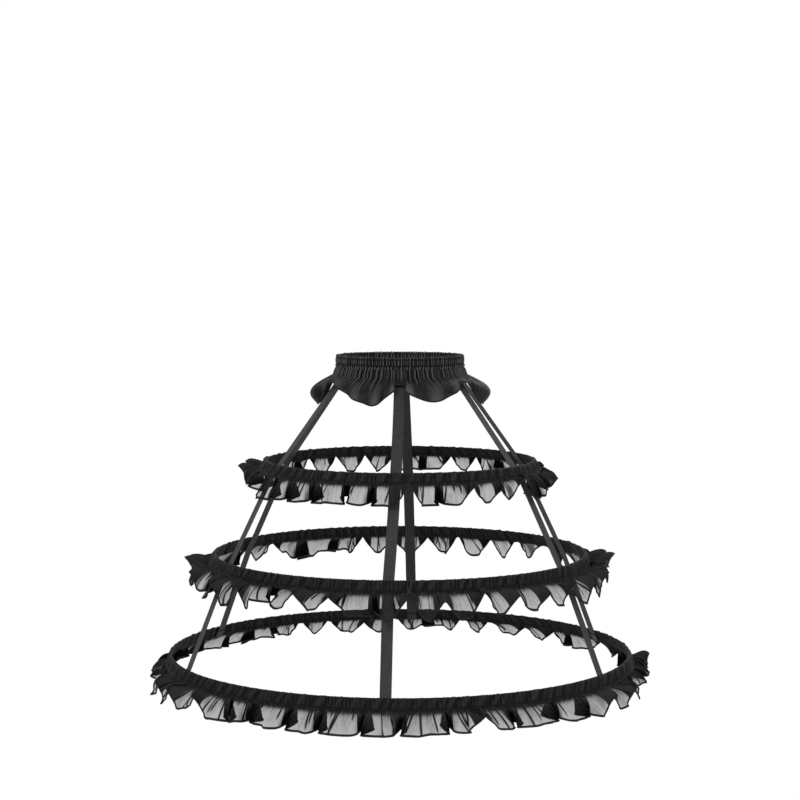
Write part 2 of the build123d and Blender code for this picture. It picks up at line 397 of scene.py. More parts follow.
def new_material(name, paint, *given, **finish):
    """A material whose shader is made by a function."""
    made = bpy.data.materials.new(name)
    made.use_nodes = True
    tree = made.node_tree
    tree.nodes.clear()
    shader = paint(tree, *given, **finish)
    tree.links.new(shader, tree.nodes.new("ShaderNodeOutputMaterial").inputs["Surface"])
    return made


def make_crepe_group():
    """Crepe: fine crossing threads, the uneven twist of the yarn and crinkles, on the cloth's own UV map."""
    tree = bpy.data.node_groups.new("crepe", "ShaderNodeTree")
    add_sockets(tree, "INPUT", "Float", "Thread Pitch", "Streak Scale")
    add_sockets(tree, "OUTPUT", "Float", "Height", "Unevenness")
    given = tree.nodes.new("NodeGroupInput").outputs
    cloth = node(tree, "ShaderNodeUVMap", uv_map="cloth")
    across, along = (node(tree, "ShaderNodeSeparateXYZ", {0: cloth}, axis) for axis in "XY")
    threads = [even_waves(tree, place, given["Thread Pitch"]) for place in (across, along)]
    weave = maths(tree, "MAXIMUM", *threads)
    streaks = node(tree, "ShaderNodeMapping", {"Vector": cloth, "Scale": (1.0, 0.2, 1.0)})
    yarn = noise(tree, streaks, given["Streak Scale"], detail=3.0)
    twist = noise(tree, cloth, 900.0, detail=2.0)
    crinkle = noise(tree, cloth, 140.0, detail=4.0, distortion=1.2)
    uneven = weighted(tree, (yarn, 0.4), (twist, 0.2), (crinkle, 0.4))
    out = tree.nodes.new("NodeGroupOutput").inputs
    tree.links.new(weighted(tree, (weave, 0.3), (uneven, 1.0)), out["Height"])
    tree.links.new(uneven, out["Unevenness"])
    return tree


def crepe_in(tree, crepe, thread_pitch, streak_scale, relief):
    """Crepe in a material: its normal, its tone (the painted shading of its gathers and folds, with the
    crepe's random unevenness added), and its unevenness.
    """
    made = tree.nodes.new("ShaderNodeGroup")
    made.node_tree = crepe
    made.inputs["Thread Pitch"].default_value = thread_pitch
    made.inputs["Streak Scale"].default_value = streak_scale
    uneven = made.outputs["Unevenness"]
    # The attribute read here holds painted shading: paler as painted highlight on the ridges of gathers and
    # folds, darker as painted shade in their hollows and creases
    ridge = node(tree, "ShaderNodeAttribute", output="Fac", attribute_name="ridge")
    tone = maths(tree, "ADD", ridge, mapped(tree, uneven, low=-0.25, high=0.25))
    return bumped(tree, made.outputs["Height"], relief, distance=0.25 * MM), tone, uneven


def shade_ramp(tree, value, dark, light):
    """A colour between two others by a value."""
    ramp = tree.nodes.new("ShaderNodeValToRGB")
    tree.links.new(value, ramp.inputs["Fac"])
    for stop, place, colour in zip(ramp.color_ramp.elements, RAMP_PLACES, (dark, light)):
        stop.position = place
        stop.color = (*colour, 1)
    return ramp.outputs["Color"]


def gathered_cloth(tree, crepe, light):
    """Black crepe chiffon in many layers: matt, with a soft nap, with painted highlight on the ridges of its
    gathers and painted shade in their hollows.
    """
    normal, tone, _ = crepe_in(tree, crepe, thread_pitch=0.42 * MM, streak_scale=420.0, relief=0.35)
    return node(tree, "ShaderNodeBsdfPrincipled", {
        "Base Color": shade_ramp(tree, tone, (0.0022, 0.0022, 0.0024), (light, light, light)),
        "Roughness": 0.72,
        "Specular IOR Level": 0.1,
        "Sheen Weight": 0.015,
        "Sheen Roughness": 0.45,
        "Normal": normal,
    })


def sheer_cloth(tree, crepe, clear_share, light, gloss):
    """Black chiffon that lets a share of the light through each layer, less where it is seen on edge; its
    colour has painted shade in its folds and creases and painted highlight on its crests.
    """
    normal, tone, uneven = crepe_in(tree, crepe, thread_pitch=0.5 * MM, streak_scale=300.0, relief=0.3)
    thickness = node(tree, "ShaderNodeAttribute", output="Fac", attribute_name="thickness")
    layers = maths(tree, "MULTIPLY", thickness, mapped(tree, uneven, low=0.2, high=1.8))
    passed = maths(tree, "POWER", clear_share, layers)
    return node(tree, "ShaderNodeBsdfPrincipled", {
        "Base Color": shade_ramp(tree, tone, (0.004, 0.004, 0.0042), (light, light, light)),
        "Roughness": 0.6,
        "Specular IOR Level": gloss,
        "Alpha": maths(tree, "SUBTRACT", 1.0, passed),
        "Normal": normal,
    })


def ribbon_cloth(tree):
    """Dark grey ribbon: fine cross ribs and a firmer, smoother selvedge along both edges."""
    cloth = node(tree, "ShaderNodeUVMap", uv_map="cloth")
    across, along = (node(tree, "ShaderNodeSeparateXYZ", {0: cloth}, axis) for axis in "XY")
    ribs = even_waves(tree, along, RIB_PITCH)
    yarn = noise(tree, cloth, 700.0, detail=3.0)
    broad = noise(tree, cloth, 90.0, detail=2.0)
    start, whole = (STRAP_WIDTH * share for share in SELVEDGE_SHARES)
    from_middle = maths(tree, "ABSOLUTE", across)
    edge = node(tree, "ShaderNodeMapRange", {"Value": from_middle, "From Min": start, "From Max": whole})
    height = maths(
        tree, "MULTIPLY", weighted(tree, (ribs, 0.5), (yarn, 0.5)), mapped(tree, edge, low=1.0, high=0.3)
    )
    tone = weighted(tree, (yarn, 0.4), (broad, 0.6), (edge, -0.15))
    return node(tree, "ShaderNodeBsdfPrincipled", {
        "Base Color": shade_ramp(tree, tone, (0.0105, 0.0105, 0.011), (0.028, 0.028, 0.0288)),
        "Roughness": mapped(tree, edge, low=0.55, high=0.45),
        "Specular IOR Level": 0.25,
        "Sheen Weight": 0.03,
        "Sheen Roughness": 0.35,
        "Normal": bumped(tree, height, strength=0.4, distance=0.2 * MM),
    })


def grained(tree, dark, light, roughness, scale, metallic=0.0, gloss=0.5):
    """A finish with a fine grain in its colour and its surface, on the piece's own coordinates."""
    place = node(tree, "ShaderNodeTexCoord", output="Object")
    grain = noise(tree, place, scale, detail=4.0)
    return node(tree, "ShaderNodeBsdfPrincipled", {
        "Base Color": shade_ramp(tree, grain, dark, light),
        "Roughness": roughness,
        "Metallic": metallic,
        "Specular IOR Level": gloss,
        "Normal": bumped(tree, grain, strength=0.2, distance=0.1 * MM),
    })


# Geometry Nodes: rolled hems and rows of stitches along lines

def line_tree(name, inputs):
    """A tree with a line of mesh edges coming in, named inputs, and the line as a curve."""
    tree = bpy.data.node_groups.new(name, "GeometryNodeTree")
    add_sockets(tree, "OUTPUT", "Geometry", "Geometry")
    add_sockets(tree, "INPUT", "Geometry", "Line")
    add_sockets(tree, "INPUT", "Float", *inputs)
    add_sockets(tree, "INPUT", "Material", "Material")
    given = tree.nodes.new("NodeGroupInput").outputs
    curve = node(tree, "GeometryNodeMeshToCurve", {0: given["Line"]})
    return tree, given, curve


def end_tree(tree, given, geometry):
    """Realises a tree's geometry in its material and puts it out."""
    real = node(tree, "GeometryNodeRealizeInstances", {0: geometry})
    painted = node(tree, "GeometryNodeSetMaterial", {"Geometry": real, "Material": given["Material"]})
    tree.links.new(painted, tree.nodes.new("NodeGroupOutput").inputs[0])
    return tree


def resampled(tree, curve, length):
    """A curve in even steps."""
    return node(tree, "GeometryNodeResampleCurve", {"Curve": curve, "Length": length}, mode="LENGTH")


def tube(tree, curve, radius, sides, capped=False):
    """A tube along a curve."""
    section = node(tree, "GeometryNodeCurvePrimitiveCircle", {"Resolution": sides, "Radius": radius})
    inputs = {"Curve": curve, "Profile Curve": section, "Fill Caps": capped}
    return node(tree, "GeometryNodeCurveToMesh", inputs)


def make_hem_tree():
    """A rolled hem: a thin tube along the line."""
    tree, given, curve = line_tree("rolled_hem", ("Radius", "Step"))
    even = resampled(tree, curve, given["Step"])
    return end_tree(tree, given, tube(tree, even, given["Radius"], sides=6))


def make_stitch_tree():
    """A row of stitches: short arched threads at an even pitch, rising away from the skirt's axis."""
    tree, given, curve = line_tree("stitches", ("Pitch", "Stitch Length", "Thread Radius", "Rise"))
    even = resampled(tree, curve, given["Pitch"])
    back, ahead = (maths(tree, "MULTIPLY", given["Stitch Length"], share) for share in (-0.5, 0.5))
    start, top, end = (
        node(tree, "ShaderNodeCombineXYZ", inputs)
        for inputs in ({"X": back}, {"Z": given["Rise"]}, {"X": ahead})
    )
    arch = node(
        tree, "GeometryNodeCurveQuadraticBezier", {"Resolution": 3, "Start": start, "Middle": top, "End": end}
    )
    thread = tube(tree, arch, given["Thread Radius"], sides=4, capped=True)
    tangent, place = node(tree, "GeometryNodeInputTangent"), node(tree, "GeometryNodeInputPosition")
    along = node(tree, "FunctionNodeAlignRotationToVector", {"Vector": tangent}, axis="X")
    outward = node(tree, "ShaderNodeVectorMath", {0: place, 1: (1, 1, 0)}, operation="MULTIPLY")
    facing = node(
        tree, "FunctionNodeAlignRotationToVector",
        {"Rotation": along, "Vector": outward}, axis="Z", pivot_axis="X",
    )
    inputs = {"Points": even, "Instance": thread, "Rotation": facing}
    return end_tree(tree, given, node(tree, "GeometryNodeInstanceOnPoints", inputs))


def along_lines(name, lines, is_closed, tree, material, **sizes):
    """A plain mesh that a tree makes along lines of points."""
    starts = np.cumsum([0] + [len(line) for line in lines])
    edges = []
    for first, line in zip(starts, lines):
        last = len(line) if is_closed else len(line) - 1
        edges += [(first + k, first + (k + 1) % len(line)) for k in range(last)]
    mesh = bpy.data.meshes.new(name)
    mesh.from_pydata(np.vstack(lines).tolist(), edges, [])
    guide = placed(name + "_line", mesh)
    modifier = guide.modifiers.new("tree", "NODES")
    modifier.node_group = tree
    values = {label.replace("_", " "): value for label, value in sizes.items()}
    values["Material"] = material
    for item in tree.interface.items_tree:
        if item.in_out == "INPUT" and item.name in values:
            modifier[item.identifier] = values[item.name]
    evaluated = guide.evaluated_get(bpy.context.evaluated_depsgraph_get())
    made = bpy.data.meshes.new_from_object(evaluated)
    bpy.data.objects.remove(guide)
    return finished(name, made, material)


# Hoop casings

# Section: the roll over the hoop, rows on both sides, and half of its thickness at the seam and the edge
CASING_ROLL = 3.3 * MM
CASING_BEND_POINTS = 9
CASING_ROWS = np.array([25, 23.6, 22.2, 20.5, 19.2, 17, 14, 11, 8, 5.5]) * MM
SEAM_HALF_THICKNESS = 1.15 * MM
EDGE_HALF_THICKNESS = 1.5 * MM

# Gathers and larger folds; slants and drifts are turns
CASING_COLUMN = 1.4 * MM
CASING_SLACK = 1.1 * MM
CASING_GATHER_PITCH = 6.5 * MM
CASING_GATHER_HEIGHT = 0.6 * MM
CASING_SLANT_WAVES = 40
CASING_SLANT = 0.00225
CASING_PINCH_SHARE = 0.88
CASING_PINCH_REACH = 2.2 * MM
CASING_TOP_SHARE = 0.45
CASING_TOP_REACH = 9 * MM
CASING_FACE_REACH = 4 * MM
CASING_BACK_SHIFT = 0.8
CASING_FOLD_SHARE = 0.36
CASING_FOLD_HEIGHT = 1.5 * MM
CASING_FOLD_SLANT = 1.2
CASING_DRIFT_WAVES = 25
CASING_DRIFT = 0.004

# The ragged cloth under the stitches
FRAY_GATHER_SHARE = 1.2
FRAY_WAVE_SHARE = 0.55
FRAY_REACH = 4 * MM
FRAY_LENGTH = 1.0 * MM

# Tone of the cloth, and how much its gathers and folds change it: painted highlight on their ridges and
# painted shade in their hollows
CASING_TONE = 0.45
CASING_GATHER_SHADING = 0.12
CASING_FOLD_SHADING = 0.16


def casing_section():
    """(along, across) points of the folded cloth, from its back edge over the hoop to its front edge."""
    half = np.interp(
        CASING_ROWS, [CASING_ROLL, CASING_STITCH, CASING_HEIGHT],
        [CASING_ROLL, SEAM_HALF_THICKNESS, EDGE_HALF_THICKNESS],
    )
    bend = np.linspace(-pi / 2, pi / 2, CASING_BEND_POINTS)
    over = np.stack([CASING_ROLL * (1 - np.cos(bend)), CASING_ROLL * np.sin(bend)], axis=1)
    back = np.stack([CASING_ROWS, -half], axis=1)
    front = np.stack([CASING_ROWS, half], axis=1)[::-1]
    return np.vstack([back, over, front])


def casing_gathers(turn, section, count, rng):
    """How far the gathers push a casing's cloth out, pinched along the stitches, and the cloth's tone with
    painted shading of its gathers and folds.
    """
    along, across = section[:, :1], section[:, 1:]
    slant = ripple(turn, CASING_SLANT_WAVES, rng) * CASING_SLANT
    pinch = 1 - CASING_PINCH_SHARE * peak(along - CASING_STITCH, CASING_PINCH_REACH)
    depth = blend(CASING_TOP_SHARE, 1, smooth(along / CASING_TOP_REACH)) * pinch
    shifted = turn + slant * along / CASING_HEIGHT
    front, back = ripple(shifted, count, rng), ripple(shifted, count, rng)
    fray = ripple(turn, count * FRAY_GATHER_SHARE, rng)
    front = np.where(along > CASING_STITCH, fray, front)
    drift = ripple(turn, CASING_DRIFT_WAVES, rng) * CASING_DRIFT
    folds = ripple(turn + drift + along * CASING_FOLD_SLANT, count * CASING_FOLD_SHARE, rng, spread=0.5)
    outer = smooth(across / CASING_FACE_REACH + 0.5)
    gathers = front * outer + (back - CASING_BACK_SHIFT) * (1 - outer)
    offset = depth * (gathers * CASING_GATHER_HEIGHT + folds * outer * CASING_FOLD_HEIGHT)
    # Painted highlight on the ridges of gathers and folds, painted shade in their hollows and along the
    # pinched stitches
    change = (front * CASING_GATHER_SHADING + folds * CASING_FOLD_SHADING) * pinch
    return np.maximum(offset, -CASING_SLACK), CASING_TONE + change - SEAM_SHADE_DROP * (1 - pinch)


def make_casing(hoop, rng):
    """A casing's grid and its cloth's tone, painted lighter on the ridges and darker in the hollows of its
    gathers and folds.
    """
    section = casing_section()
    columns = int(TURN * hoop.radius / CASING_COLUMN)
    count = int(TURN * hoop.radius / CASING_GATHER_PITCH)
    turn = even_places(TURN, columns)
    loose = smooth((section[:, :1] - CASING_STITCH) / FRAY_REACH) * FRAY_LENGTH
    ragged = ripple(turn, count * FRAY_WAVE_SHARE, rng) * loose
    radius, height = hoop.casing_point(section[:, :1] + ragged, section[:, 1:])
    offset, tone = casing_gathers(turn, section, count, rng)
    return pushed(around(radius, turn, height), offset), tone


# Hoop ruffles

# Rows, from inside the seam down to the hem, whose own fold starts and is whole at two of them
HEM_FOLD_SHARES = (0.915, 0.935)
RUFFLE_ROW_SHARES = np.array(
    [-0.12, 0, 0.03, 0.07, 0.12, 0.18, 0.26, 0.36, 0.48, 0.6, 0.72, 0.83, *HEM_FOLD_SHARES, 1]
)[:, None]
DROP_SHARES = np.clip(RUFFLE_ROW_SHARES, 0, 1)

# Places from the front, 0, to the back, 1: those of a hoop's lifted_shares, and the skirt's sides
LIFTED_PLACE_SHARES = (0, 0.5, 0.62, 1)
SIDE_PLACE_SHARE = 0.52
SIDE_REACH_SHARE = 0.07
BUNCHED_REACH_SHARE = 0.12
SIDE_FADE = 1.7

# Pleats: how far each one's crest, hem, lap, depth and lift may differ from the next one's
CREST_SHIFT_SHARE = 0.09
CREST_STEP_IN = 13 * MM
HEM_RISES = (-4 * MM, 3 * MM)
SHORT_PLEATS_SHARE = 0.8
SHORT_SHARES = (0.05, 0.45)
LEAST_DROP_SHARE = 0.4
LAP_SHARES = (0.06, 0.4)
DEPTH_SHARES = (0.7, 1.0)
PLEAT_SHIFT_SHARES = (-0.07, 0.07)
LIFTED_RISE_SHARES = (0.7, 1.3)
HEM_LIFT = 6 * MM
HEM_LIFT_SHARES = (0.4, 1.8)
BROAD_REACH_SHARE = 0.4
BROAD_DEPTH_SHARE = 0.2

# How a ruffle falls from its seam: laps and leans, how soon it opens, and how a lifted hem arches it
SEAM_LAP_SHARE = 0.6
PLEAT_LEAN = 14 * MM
FOLDS_PER_LEAN = 5
OPENING_POWER = 1.5
SEAM_LAYER = 1.6 * MM
ARCH_HEIGHT = 7 * MM
ARCH_LIMIT = 1.4

# Layers of cloth in a doubled pleat, which also lies stiller, in a crease, and along the seam and hem; near
# both sides the cloth counts as partly doubled
DOUBLED_SHARES = (0.25, 0.65)
BUNCHED_SHARE = 0.37
DOUBLED_LAYERS = 12
CREASE_LAYERS = 5
SEWN_LAYERS = 5
SEAM_REACH_SHARE = 0.05
DOUBLED_STILL_SHARE = 0.85

# Tone of a crest, and how much darker, as painted shade, a whole fold's depth and a crease are
CREST_TONE = 0.76
FOLD_SHADE_DROP = 0.85
CREASE_SHADE_DROP = 0.4

# Creases, gathers under the seam and waves towards the hem
CREASE_PITCH = 24 * MM
CREASE_HEIGHT = 1.3 * MM
CREASE_REACH = 1.3 * MM
CREASE_LEAN = 16 * MM
CREASE_LEAN_POWER = 1.3
CREASE_END_SHARES = (0.3, 1.5)
CREASE_FADE_SHARE = 0.25
GATHER_PITCH = 6 * MM
GATHER_SHARES = (0.07, 0.27)
GATHER_SWING = 0.7
GATHER_REACH_PITCH = 40 * MM
GATHER_LEAST_SHARE = 0.35
GATHER_START_SHARES = (-0.02, 0.08)
WAVE_PITCH = 30 * MM
WRINKLE_HEIGHT = 1.3 * MM

# Places round a knife pleat: along the hem from the pleat's middle as a share of the pitch, how much of
# the lap is added to that, the depth as a share of the fold's, how far the hem rises as a share of its lift,
# and whether the cloth is doubled there
PLEAT_SHARES = (
    (-0.34, 0.0, 0.04, 0.0, 0.0),
    (-0.16, 0.2, 0.14, -0.1, 0.0),
    (0.00, 0.5, 0.33, -0.2, 0.3),
    (0.00, 0.0, 0.48, 0.3, 1.0),
    (0.00, -0.5, 0.63, 0.9, 1.0),
    (0.02, -0.3, 0.85, 1.0, 1.0),
    (0.07, 0.0, 0.97, 1.0, 1.0),
    (0.14, 0.1, 0.60, 0.5, 0.8),
    (0.28, 0.0, 0.12, 0.1, 0.0),
)

# The same for a place where the ruffle stands straight out and its hem lifts
LIFT_SHARES = (
    (-0.38, 0.0, 0.08, 0.06, 0.0),
    (-0.26, 0.0, 0.10, 0.32, 0.1),
    (-0.15, 0.2, 0.06, 0.68, 1.0),
    (-0.05, 0.3, -0.04, 0.95, 1.0),
    (0.03, 0.0, -0.08, 1.0, 1.0),
    (0.10, -0.3, -0.02, 0.9, 1.0),
    (0.20, -0.2, 0.08, 0.55, 1.0),
    (0.30, 0.0, 0.12, 0.25, 0.1),
    (0.39, 0.0, 0.10, 0.05, 0.0),
)


def pleat_places(drop, lifted, aside, rng):
    """One pleat's places as (share, depth, rise, doubled), laid to either side, and broader at the sides."""
    lap, deep, shift = (rng.uniform(*shares) for shares in (LAP_SHARES, DEPTH_SHARES, PLEAT_SHIFT_SHARES))
    side = rng.choice([-1, 1])
    shares = LIFT_SHARES if lifted else PLEAT_SHARES
    lift = drop * rng.uniform(*LIFTED_RISE_SHARES) if lifted else HEM_LIFT * rng.uniform(*HEM_LIFT_SHARES)
    broad = aside * lifted
    places = []
    for along, part, depth, rise, doubled in shares:
        wider = along * (1 + broad * (1 - abs(along) / BROAD_REACH_SHARE))
        share = 0.5 + shift + side * (wider + lap * part)
        places.append((share, depth * deep - BROAD_DEPTH_SHARE * broad * rise, rise * lift, doubled))
    return places[::side]


def beside(from_front, middle, reach):
    """1 about a place between the skirt's front and back, 0 away from it."""
    return smooth(SIDE_FADE - abs(from_front - middle) / reach)


def ruffle_hem(hoop, rng):
    """The hem as a smooth line that also tells where it is doubled, with every crest's place and turn."""
    places, crests = [], []
    per_strap = hoop.folds // len(STRAP_NAMES)
    drop = hoop.casing_point(CASING_HEIGHT, 0)[1] - hoop.hem
    for fold in range(hoop.folds):
        free = 0 if fold % per_strap == 0 else 1
        from_front = min(fold + 0.5, hoop.folds - fold - 0.5) / hoop.folds * 2
        lifts = np.interp(from_front, LIFTED_PLACE_SHARES, hoop.lifted_shares)
        aside = beside(from_front, hoop.side_share, SIDE_REACH_SHARE)
        bunched = BUNCHED_SHARE * beside(from_front, SIDE_PLACE_SHARE, BUNCHED_REACH_SHARE)
        crest = fold + free * rng.uniform(-CREST_SHIFT_SHARE, CREST_SHIFT_SHARE)
        stand = hoop.crest - free * rng.uniform(0, CREST_STEP_IN) * (1 - aside) - hoop.draw_in * aside
        short = free * (rng.uniform() < SHORT_PLEATS_SHARE * lifts) * rng.uniform(*SHORT_SHARES)
        raised = max(short, hoop.rise_share * aside) * drop
        low = hoop.hem + rng.uniform(*HEM_RISES) + raised
        crests.append((len(places), crest))
        places.append((crest, stand, low, bunched))
        lifted = rng.uniform() < lifts
        left = max(drop - raised, LEAST_DROP_SHARE * drop)
        for share, depth, rise, doubled in pleat_places(left, lifted, aside, rng):
            places.append((fold + share, stand - FOLD_DEPTH * depth, low + rise, max(doubled, bunched)))
    share, radius, height, doubled = np.array(places).T
    points = around(radius, share * TURN / hoop.folds, height)
    return closed_curve(np.column_stack([points, doubled * MM])), np.array(crests)


def make_ruffle(hoop, rng):
    """A ruffle's grid, how many more layers of cloth there are at its points, and the cloth's tone, with
    painted shade in its folds and creases.
    """
    line, crests = ruffle_hem(hoop, rng)
    lengths = path_lengths(closed(line))
    width = lengths[-1]
    columns = int(width / CLOTH_STEP)
    cloth = even_places(width, columns)
    hem = at_lengths(closed(line), cloth)
    crest_cloth = np.append(lengths[crests[:, 0].astype(int) * CURVE_SAMPLES], width)
    crest_turn = np.append(crests[:, 1], crests[0, 1] + hoop.folds) * TURN / hoop.folds
    creases = crease_lines(width, columns, rng)
    doubled = step(hem[:, 3] / MM, *DOUBLED_SHARES)
    seam_turn = np.interp(cloth, crest_cloth, crest_turn)
    loose = 1 - DOUBLED_STILL_SHARE * doubled
    grid = hang_ruffle(hoop, seam_turn, hem[:, :3], width, creases, loose, rng)
    sewn = np.exp(-DROP_SHARES / SEAM_REACH_SHARE) + step(RUFFLE_ROW_SHARES, *HEM_FOLD_SHARES)
    layers = DOUBLED_LAYERS * doubled + CREASE_LAYERS * creases + SEWN_LAYERS * sewn
    # The tone is painted shade: darker in the depth of the folds and along the creases
    return grid, layers, fold_shading(grid) - CREASE_SHADE_DROP * creases


def hang_ruffle(hoop, seam_turn, hem, width, creases, loose, rng):
    """The grid from inside the casing's seam to the hem: its pleats lapped all the way up, then opening."""
    tucked = np.minimum(RUFFLE_ROW_SHARES, 0)
    spread = 1 - (1 - DROP_SHARES) ** OPENING_POWER
    hem_radius = np.hypot(hem[:, 0], hem[:, 1])
    lead = nearest(turns_of(hem) - seam_turn, TURN)
    place = even_places(TURN, len(seam_turn))
    off_strap = np.sin(seam_turn * len(STRAP_NAMES) / 2) ** 2
    lean = ripple(place, hoop.folds / FOLDS_PER_LEAN, rng, spread=0.5) * off_strap * PLEAT_LEAN / hoop.crest
    turn = seam_turn + lead * blend(SEAM_LAP_SHARE, 1, spread) - lean * (1 - DROP_SHARES)
    seam_radius, seam_height = hoop.casing_point(CASING_HEIGHT * (1 + tucked), 0)
    layer = (0.5 - (hoop.crest - hem_radius) / FOLD_DEPTH) * SEAM_LAYER
    radius = blend(seam_radius + layer, hem_radius, spread)
    lifted = (hem[:, 2] - hoop.hem) / (seam_height[1] - hoop.hem)
    arch = np.clip(lifted, 0, ARCH_LIMIT) * ARCH_HEIGHT
    height = blend(seam_height, hem[:, 2], DROP_SHARES) + arch * np.sin(pi * DROP_SHARES)
    wrinkles = ruffle_wrinkles(width, len(hem), rng) + creases * CREASE_HEIGHT
    return pushed(around(radius, turn, height), wrinkles * loose)


def fold_shading(grid):
    """Painted shading from the depth of a ruffle's folds, low, to their crests, high: darker in the folds,
    paler on the crests.
    """
    radius = np.hypot(grid[..., 0], grid[..., 1])
    return CREST_TONE - FOLD_SHADE_DROP * (radius.max(axis=1, keepdims=True) - radius) / FOLD_DEPTH


def crease_lines(width, columns, rng):
    """Sharp creases that run down the cloth at random places: 1 on a crease's line, 0 off it."""
    place = even_places(width, columns)
    creases = np.zeros((len(DROP_SHARES), columns))
    for start in rng.uniform(0, width, int(width / CREASE_PITCH)):
        lean, end = rng.uniform(-CREASE_LEAN, CREASE_LEAN), rng.uniform(*CREASE_END_SHARES)
        away = nearest(place - start - lean * DROP_SHARES**CREASE_LEAN_POWER, width)
        fade = smooth((end - DROP_SHARES) / CREASE_FADE_SHARE)
        creases = np.maximum(creases, peak(away, CREASE_REACH) * fade)
    return creases


def ruffle_wrinkles(width, columns, rng):
    """Small gathers under the seam, and soft waves towards the hem."""
    place = even_places(TURN, columns)
    reach = gather_reach(place, width / GATHER_REACH_PITCH, GATHER_SHARES, GATHER_SWING, rng)
    gathers = ripple(place, width / GATHER_PITCH, rng, spread=0.35) * np.exp(-DROP_SHARES / reach)
    waves = ripple(place, width / WAVE_PITCH, rng, spread=0.5) * smooth(DROP_SHARES)
    grown = blend(GATHER_LEAST_SHARE, 1, step(RUFFLE_ROW_SHARES, *GATHER_START_SHARES))
    return (gathers * grown + waves) * WRINKLE_HEIGHT


# Waistband

# Section: how much slimmer than the solid it is, how far out it lies, and rows on its inside and outside
BAND_INSET = 0.7 * MM
BAND_SHIFT = 0.5 * MM
BAND_BEND_POINTS = 8
BAND_TOP_SHARE = 1.35
BAND_INNER_ROWS = np.array([-22, -18, -14, -10, -6]) * MM
BAND_OUTER_ROWS = np.array([-4.5, -5.6, -7, -9, -11, -13, -14.3, -15.5, -16.6, -17.6, -19, -20.4, -22]) * MM

# Gathers: fine ones above the lower stitches, bold ones under them, lower on the inside
BAND_COLUMN = 0.75 * MM
BAND_FINE_GATHERS = 165
BAND_FINE_SHARE = 0.75
BAND_BOLD_GATHERS = 120
BAND_GATHER_HEIGHT = 1.3 * MM
BAND_INNER_SHARE = 0.25
BAND_PINCH_SHARE = 0.75
BAND_PINCH_REACH = 1.3 * MM
BAND_BOLD_REACH = 3 * MM
BAND_OUTER_REACH = 4 * MM
# Painted shading: the cloth is paler on the ridges of its gathers as painted highlight, and darker in their
# hollows and at the stitches as painted shade
BAND_TONE = 0.33
BAND_GATHER_SHADING = 0.6


def band_section():
    """(radius, height) points of the waistband's cloth, from its inner edge over the top to its outer one."""
    half = (BAND_OUTER_RADIUS - WAIST_RADIUS) / 2 - BAND_INSET
    middle = WAIST_RADIUS + half + BAND_SHIFT
    bend = np.linspace(-pi / 2, pi / 2, BAND_BEND_POINTS)
    over = np.stack([middle + half * np.sin(bend), -half * (BAND_TOP_SHARE - np.cos(bend))], axis=1)
    inner = np.stack([np.full(len(BAND_INNER_ROWS), middle - half), BAND_INNER_ROWS], axis=1)
    outer = np.stack([np.full(len(BAND_OUTER_ROWS), middle + half), BAND_OUTER_ROWS], axis=1)
    return np.vstack([inner, over, outer])


def make_band(rng):
    """The waistband's grid and its cloth's tone, with painted shading on its gathers and stitches."""
    section = band_section()
    turn = even_places(TURN, int(TURN * BAND_OUTER_RADIUS / BAND_COLUMN))
    radius, height = section[:, :1], section[:, 1:]
    pinch = 1 - BAND_PINCH_SHARE * sum(peak(height - stitch, BAND_PINCH_REACH) for stitch in BAND_STITCHES)
    fine = ripple(turn, BAND_FINE_GATHERS, rng, spread=0.35)
    bold = ripple(turn, BAND_BOLD_GATHERS, rng, spread=0.45)
    below = smooth((BAND_STITCHES[1] - height) / BAND_BOLD_REACH)
    outer = smooth((radius - WAIST_RADIUS) / BAND_OUTER_REACH)
    gathers = (fine * (1 - below) * BAND_FINE_SHARE + bold * below) * pinch
    offset = gathers * blend(BAND_INNER_SHARE, 1, outer) * BAND_GATHER_HEIGHT
    # Painted highlight on the ridges of the gathers, painted shade in their hollows and along the stitches
    tone = BAND_TONE + gathers * BAND_GATHER_SHADING - SEAM_SHADE_DROP * (1 - pinch)
    return pushed(around(radius, turn, height), offset), tone


# Frill

# Its hem hangs and lifts in lobes; its top is tucked up inside the waistband
FRILL_BOTTOM = -83 * MM
FRILL_HEM_LIFT = 34 * MM
FRILL_TUCK = 14 * MM
FRILL_TOP_INSET = 2.6 * MM
FRILL_TOP_LAP = 3.5 * MM
FRILL_STEP = 0.88 * MM

# Rows of the header, whose height counts as a share of the drop, and of the drop, which opens and bellies out
HEADER_SHARE = 0.42
HEADER_ROWS = 12
DROP_ROWS = 17
FRILL_OPENING_POWER = 2.4
FRILL_BELLY_SHARE = 1.3

# Gathers that fade down from the header, and waves towards the hem
FRILL_GATHERS = 125
FRILL_GATHER_HEIGHT = 1.9 * MM
FRILL_GATHER_SHARES = (0.05, 0.21)
FRILL_GATHER_SWING = 0.6
FRILL_REACH_WAVES = 40
FRILL_TOP_SHARE = 0.25
FRILL_TOP_REACH_SHARE = 0.2
FRILL_WAVES = 20
FRILL_WAVE_HEIGHT = 3 * MM
# Painted shading: paler on the ridges of gathers and waves as painted highlight, darker in their hollows and
# in the gathered header under the waistband as painted shade
FRILL_TONE = 0.37
FRILL_GATHER_SHADING = 0.75
FRILL_HEADER_SHADE_DROP = 0.11
FRILL_WAVE_SHADING = 0.24

# Each lobe from the front strap on: how far its lowest point leans, how broad it is, how much shorter it
# hangs, and how far its hem tucks back in
FRILL_LOBE_SHARES = (
    (-0.10, 0.4, 0.2, 0.0), (0.04, 1.0, -0.2, 1.0), (-0.07, 0.5, 0.1, 0.3),
    (0.08, 0.6, 0.0, 0.3), (-0.03, 1.0, -0.25, 1.0), (0.26, 0.1, 0.0, 0.0),
)

